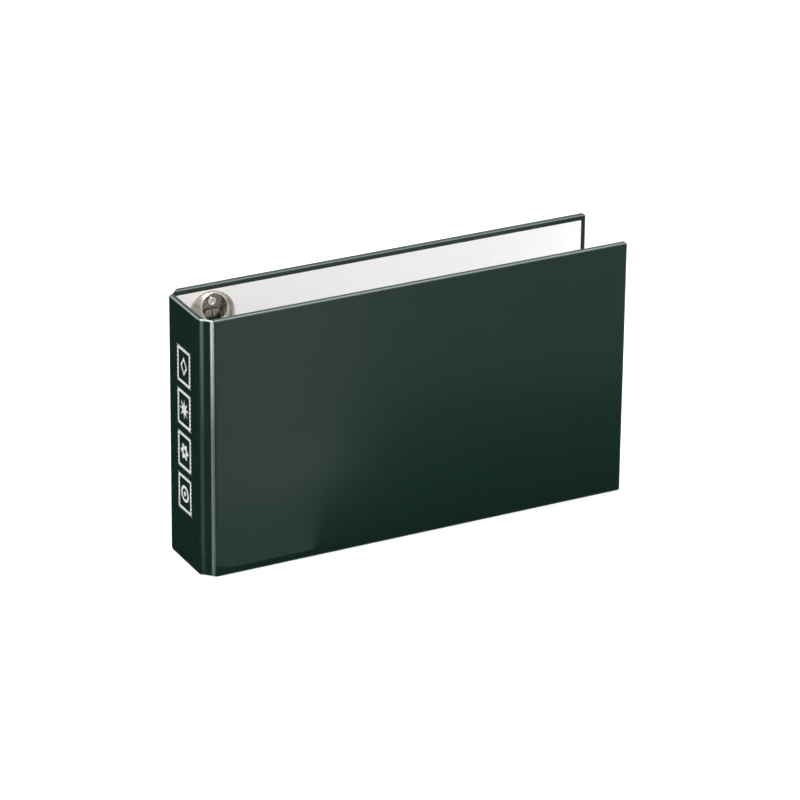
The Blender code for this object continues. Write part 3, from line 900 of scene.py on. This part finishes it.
def build_housing():
    """The arched housing: a thin shell with two dishes pressed in, each with an opening for
    the hinge plates' tongues and a rivet hole, and four notches for the ring legs."""
    wall = PLATE_SHEET
    above = CREST_HEIGHT + 2 * OVERRUN
    below = -2 * OVERRUN

    def tool(name, shape):
        return make_piece(name, shape, NICKEL)

    housing = make_piece("nickel_arched_housing", arch_solid(0.0, 0.0), NICKEL)
    hollow = tool("hollow", arch_solid(wall, -OVERRUN))
    keep, cuts = [], []
    for name, sign, end_z in ends():
        dish_z = end_z - sign * DISH_FROM_END
        keep.append(tool("keep", cone(HOUSING_X, dish_z, dish_radius(below) + wall, below,
                                      dish_radius(above) + wall, above)))
        cuts.append(tool("dish", cone(HOUSING_X, dish_z, dish_radius(wall), wall,
                                      dish_radius(above), above)))
        cuts.append(tool("opening", block(
            (HOUSING_X - OPENING_HALF_WIDTH, wall, dish_z),
            (HOUSING_X + OPENING_HALF_WIDTH, CREST_HEIGHT - OPENING_BELOW_CREST,
             dish_z - sign * OPENING_LENGTH))))
        rivet_low, rivet_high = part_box(name + "_tube_rivet")
        cuts.append(tool("rivet_hole", cone(HOUSING_X, (rivet_low.z + rivet_high.z) / 2,
                                            HOLE_RADIUS, -OVERRUN, HOLE_RADIUS, 2 * OVERRUN,
                                            segments=40)))
    for ring in ("upper", "lower"):
        low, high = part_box(ring + "_ring_straight_half")
        z = (low.z + high.z) / 2
        for sign, inner in NOTCH_INNER_END.items():
            cuts.append(tool("notch", block(
                (HOUSING_X + sign * (HOUSING_RADIUS + OVERRUN), NOTCH_BOTTOM, z - NOTCH_HALF_WIDTH),
                (HOUSING_X + sign * inner, above, z + NOTCH_HALF_WIDTH))))
    carve(hollow, keep)
    carve(housing, [hollow] + cuts)
    soften(housing, width=0.12 * MM, segments=2, angle=45)
    paint_dish_shade_and_rim_highlight(housing)
    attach(housing, "back_cover")
    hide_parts("ring_housing")


def build_hinge_plate(sign, side):
    """One flat hinge plate, with a tongue at each end that shows in the housing's dish."""
    node = side + "_hinge_plate"
    low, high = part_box(node)
    outer, inner = (low.x, high.x) if sign < 0 else (high.x, low.x)
    middle = HEIGHT / 2
    tip = high.z - middle
    shoulder = tip - TONGUE_LENGTH
    tongue = HOUSING_X + sign * TONGUE_WIDTH
    tip_corner = PLATE_CORNER / 2
    upper = [(outer, shoulder - PLATE_CORNER), (outer - sign * PLATE_CORNER, shoulder),
             (tongue, shoulder), (tongue, tip - tip_corner), (tongue - sign * tip_corner, tip),
             (inner, tip)]
    outline = upper + [(x, -z) for x, z in reversed(upper)]
    loops = [[on_mechanism(x, HOUSING_BASE - y, middle + z) for x, z in outline]
             for y in (high.y, low.y)]
    plate = make_piece("nickel_" + node, loft(loops), NICKEL)
    soften(plate, width=0.14 * MM, segments=3, angle=30)
    # The whole plate is darkened as painted shade, for the tongues that show deep in the dish.
    paint_evenly(plate, "painted_shade", PLATE_PAINTED_SHADE)
    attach(plate, side + "_ring_plate")
    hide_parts(node)


def curved_half_path():
    """Centre line of the half ring on the spine side, as (across, height) from the foot up."""
    across, height = CURVE_CENTRE
    first, last = (math.radians(a) for a in CURVE_DEGREES)
    arc = []
    for i in range(CURVE_STEPS + 1):
        turn = first + (last - first) * i / CURVE_STEPS
        arc.append((across + CURVE_RADIUS * math.cos(turn), height + CURVE_RADIUS * math.sin(turn)))
    lean = math.tan(first - math.pi)
    foot = (arc[0][0] + lean * (arc[0][1] - LEG_FOOT_HEIGHT), LEG_FOOT_HEIGHT)
    return [foot] + arc


def straight_half_path():
    """Centre line of the half ring on the fore-edge side: a straight post and a round corner."""
    across, height = POST_ACROSS - POST_CORNER, RING_TOP - POST_CORNER
    arc = []
    for i in range(POST_STEPS + 1):
        turn = math.pi / 2 * i / POST_STEPS
        arc.append((across + POST_CORNER * math.cos(turn), height + POST_CORNER * math.sin(turn)))
    return [(POST_ACROSS, LEG_FOOT_HEIGHT)] + arc + [(STRAIGHT_HALF_END, RING_TOP)]


def build_half_ring(name, node, path, body):
    """A round wire swept along its path, with a small chamfer at both ends."""
    low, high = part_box(node)
    z = (low.z + high.z) / 2
    stations = []
    for i, (x, h) in enumerate(path):
        x0, h0 = path[max(i - 1, 0)]
        x1, h1 = path[min(i + 1, len(path) - 1)]
        way = Vector((x1 - x0, h1 - h0)).normalized()
        here = Vector((x, h))
        if i == 0:
            stations.append((here, way, WIRE_RADIUS - WIRE_CHAMFER))
            stations.append((here + way * WIRE_CHAMFER, way, WIRE_RADIUS))
        elif i == len(path) - 1:
            stations.append((here - way * WIRE_CHAMFER, way, WIRE_RADIUS))
            stations.append((here, way, WIRE_RADIUS - WIRE_CHAMFER))
        else:
            stations.append((here, way, WIRE_RADIUS))
    loops = []
    for here, way, radius in stations:
        side = Vector((-way.y, way.x))
        loop = []
        for j in range(WIRE_SIDES):
            turn = 2 * math.pi * j / WIRE_SIDES
            at = here + side * radius * math.cos(turn)
            loop.append(on_mechanism(HOUSING_X + at.x, at.y, z + radius * math.sin(turn)))
        loops.append(loop)
    piece = make_piece(name, loft(loops), WIRE_NICKEL)
    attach(piece, body)
    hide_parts(node)


def lathe(name, x, z, profile, material, segments=64):
    """Turns a profile of (radius, world y) about a line along Y."""
    shape = bmesh.new()
    rows = []
    for radius, y in profile:
        if radius < 1e-7:
            rows.append([shape.verts.new((x, y, z))])
            continue
        turns = [2 * math.pi * i / segments for i in range(segments)]
        rows.append([shape.verts.new((x + radius * math.cos(a), y, z + radius * math.sin(a)))
                     for a in turns])
    for low, high in zip(rows, rows[1:]):
        for i in range(segments):
            j = (i + 1) % segments
            corners = [low[i % len(low)], low[j % len(low)], high[j % len(high)], high[i % len(high)]]
            unique = list(dict.fromkeys(corners))
            shape.faces.new(unique)
    return make_piece(name, shape, material, smooth_angle=40)


def build_rivet(name):
    """A tubular rivet: a domed head outside the back cover, rolled over inside the dish. Its
    profile runs from the middle of the head to the bottom of its bore."""
    node = name + "_tube_rivet"
    low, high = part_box(node)
    head_radius = (high.x - low.x) / 2
    face = outer_y(BACK)
    underside = face + 0.05 * MM
    dome = high.y - underside - HEAD_RIM
    seat = HOUSING_BASE - PLATE_SHEET - 0.02 * MM
    roll = (ROLL_RADIUS - BORE_RADIUS) / 2
    roll_height = 0.9 * roll
    bore = BORE_RADIUS - 0.05 * MM
    throat = low.y + 1.6 * MM
    bottom = face - 0.9 * MM
    ease = 0.1 * MM
    profile = [(0.0, high.y)]
    for i in range(1, RIVET_STEPS + 1):
        turn = math.pi / 2 * i / RIVET_STEPS
        profile.append((head_radius * math.sin(turn),
                        underside + HEAD_RIM + dome * math.cos(turn)))
    profile += [(head_radius, underside + ease), (head_radius - ease, underside),
                (SHANK_RADIUS, underside), (SHANK_RADIUS, seat),
                (ROLL_RADIUS - 0.15 * MM, seat)]
    for i in range(RIVET_STEPS + 1):
        turn = math.pi * i / RIVET_STEPS
        profile.append((ROLL_RADIUS - roll + roll * math.cos(turn),
                        low.y + roll_height * (1 - math.sin(turn))))
    profile += [(bore, throat), (bore, bottom), (0.0, bottom)]
    piece = lathe("nickel_" + node, (low.x + high.x) / 2, (low.z + high.z) / 2, profile,
                  WIRE_NICKEL)
    # The whole rivet is brightened as a painted highlight.
    paint_evenly(piece, "painted_highlight", RIVET_PAINTED_HIGHLIGHT)
    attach(piece, "back_cover")
    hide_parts(node)


# ---------------------------------------------------------------- studio

def build_floor():
    n = Nodes("pale_floor")
    shade = n.noise(n.object_coordinates((2.0, 2.0, 2.0)), 1.0, 2.0)
    n.link(n.mix_colour(shade, (0.90, 0.90, 0.90), (0.92, 0.92, 0.92)), "Base Color")
    n.shader.inputs["Roughness"].default_value = 0.9
    n.shader.inputs["Specular IOR Level"].default_value = 0.1
    shape = bmesh.new()
    shape.faces.new([shape.verts.new((x * FLOOR_REACH, y * FLOOR_REACH, 0.0))
                     for x, y in ((-1, -1), (1, -1), (1, 1), (-1, 1))])
    mesh = bpy.data.meshes.new("floor")
    shape.to_mesh(mesh)
    shape.free()
    mesh.materials.append(n.material)
    floor = bpy.data.objects.new("floor", mesh)
    bpy.context.scene.collection.objects.link(floor)
    floor.visible_glossy = False


def soft_lamp(name, place, turn, size, power):
    """A rectangular area lamp that the camera doesn't see."""
    light = bpy.data.lights.new(name, "AREA")
    light.shape = "RECTANGLE"
    light.size, light.size_y = size
    light.energy = power
    lamp = bpy.data.objects.new(name, light)
    lamp.location = place
    lamp.rotation_euler = turn
    lamp.visible_camera = False
    bpy.context.scene.collection.objects.link(lamp)


def softbox(name, place, aim, size, power):
    """A square lamp, aimed at a point."""
    way = Vector(aim) - Vector(place)
    soft_lamp(name, place, way.to_track_quat("-Z", "Y").to_euler(), (size, size), power)


def floor_glow(name, near, azimuth, length, width, power):
    """A soft lamp lying on the floor, as a lit patch of table. It starts at a point near the
    object and runs away from it at an angle from -Y towards -X."""
    turn = math.radians(azimuth)
    away = Vector((-math.sin(turn), -math.cos(turn), 0.0))
    place = Vector((*near, GLOW_HEIGHT)) + away * length / 2
    soft_lamp(name, place, (math.pi, 0.0, math.pi - turn), (width, length), power)


def build_light():
    """White from above and dark below the horizon, softboxes overhead, in front and behind,
    and lit patches of table that show as sheen on the covers."""
    world = bpy.data.worlds.new("studio")
    world.use_nodes = True
    tree = world.node_tree
    background = tree.nodes["Background"]
    way = tree.nodes.new("ShaderNodeTexCoord")
    split = tree.nodes.new("ShaderNodeSeparateXYZ")
    fade = tree.nodes.new("ShaderNodeMapRange")
    for socket, value in (("From Min", -0.02), ("From Max", 0.30),
                          ("To Min", 0.015), ("To Max", 0.75)):
        fade.inputs[socket].default_value = value
    tree.links.new(way.outputs["Generated"], split.inputs["Vector"])
    tree.links.new(split.outputs["Z"], fade.inputs["Value"])
    tree.links.new(fade.outputs["Result"], background.inputs["Strength"])
    background.inputs["Color"].default_value = (1.0, 1.0, 1.0, 1.0)
    bpy.context.scene.world = world
    softbox("overhead_softbox", (-0.35, 0.0, 1.45), (-0.05, 0.0, 0.0), 1.1, 24.0)
    softbox("front_softbox", (0.0, -0.75, 1.15), (-0.05, 0.0, 0.08), 0.42, 5.0)
    floor_glow("wide_sheen_glow", (0.05, -0.19), -20.0, 0.8, 1.2, 1.25)
    floor_glow("left_sheen_near", (-0.112, -0.0262), -29.0, 0.50, 0.09, 0.066)
    floor_glow("left_sheen_far", (-0.060, -0.131), -29.0, 0.45, 0.12, 0.17)
    floor_glow("top_sheen", (-0.02, -0.26), -29.0, 0.40, 0.14, 0.10)
    floor_glow("rear_sheen_glow", (0.38, 0.14), 180.0, 0.8, 0.9, 0.8)
    softbox("rear_softbox", (-0.3, 0.95, 1.1), (0.0, 0.0, 0.08), 0.6, 4.0)


def build_camera():
    """Looks down at the spine and the front cover from the front left."""
    azimuth, elevation, roll = (math.radians(a) for a in (27.59, 24.17, 0.63))
    aim = Vector((-0.0283, -0.0578, 0.0974))
    distance = 2.370
    away = Vector((-math.sin(azimuth) * math.cos(elevation),
                   -math.cos(azimuth) * math.cos(elevation), math.sin(elevation)))
    camera = bpy.data.cameras.new("camera")
    camera.sensor_width = 36.0
    camera.lens = 205.88
    camera.clip_start, camera.clip_end = 0.05, 50.0
    holder = bpy.data.objects.new("camera", camera)
    holder.rotation_mode = "QUATERNION"
    turn = (-away).to_track_quat("-Z", "Y").to_matrix() @ Matrix.Rotation(roll, 3, "Z")
    holder.rotation_quaternion = turn.to_quaternion()
    holder.location = aim + away * distance
    bpy.context.scene.collection.objects.link(holder)
    bpy.context.scene.camera = holder
    bpy.context.scene.view_settings.view_transform = "Standard"


# ---------------------------------------------------------------- the whole binder

build_camera()
build_light()
build_floor()

build_panel(Panel("front_cover", on_cover(FRONT), CREASE_X, FORE_X, False, COVER_CREASE_WEAR_AND_HIGHLIGHT),
            ("front_cover_wrap", "front_lining", "front_board"))
build_panel(Panel("back_cover", on_cover(BACK), CREASE_X, FORE_X, False, COVER_CREASE_WEAR_AND_HIGHLIGHT),
            ("back_cover_wrap", "back_lining", "back_board"))
build_panel(Panel("spine", on_spine, SPINE_LOW.y, SPINE_HIGH.y, True, 0.0),
            ("spine_wrap", "spine_lining", "spine_board"))
for hinge_side in (FRONT, BACK):
    build_strip(hinge_side)
build_foil()

build_housing()
build_hinge_plate(-1, "spine_side")
build_hinge_plate(1, "fore_side")
for ring_name in ("upper", "lower"):
    build_half_ring(ring_name + "_curved_half_ring", ring_name + "_ring_curved_half",
                    curved_half_path(), "spine_side_ring_plate")
    build_half_ring(ring_name + "_straight_half_ring", ring_name + "_ring_straight_half",
                    straight_half_path(), "fore_side_ring_plate")
    build_rivet(ring_name)
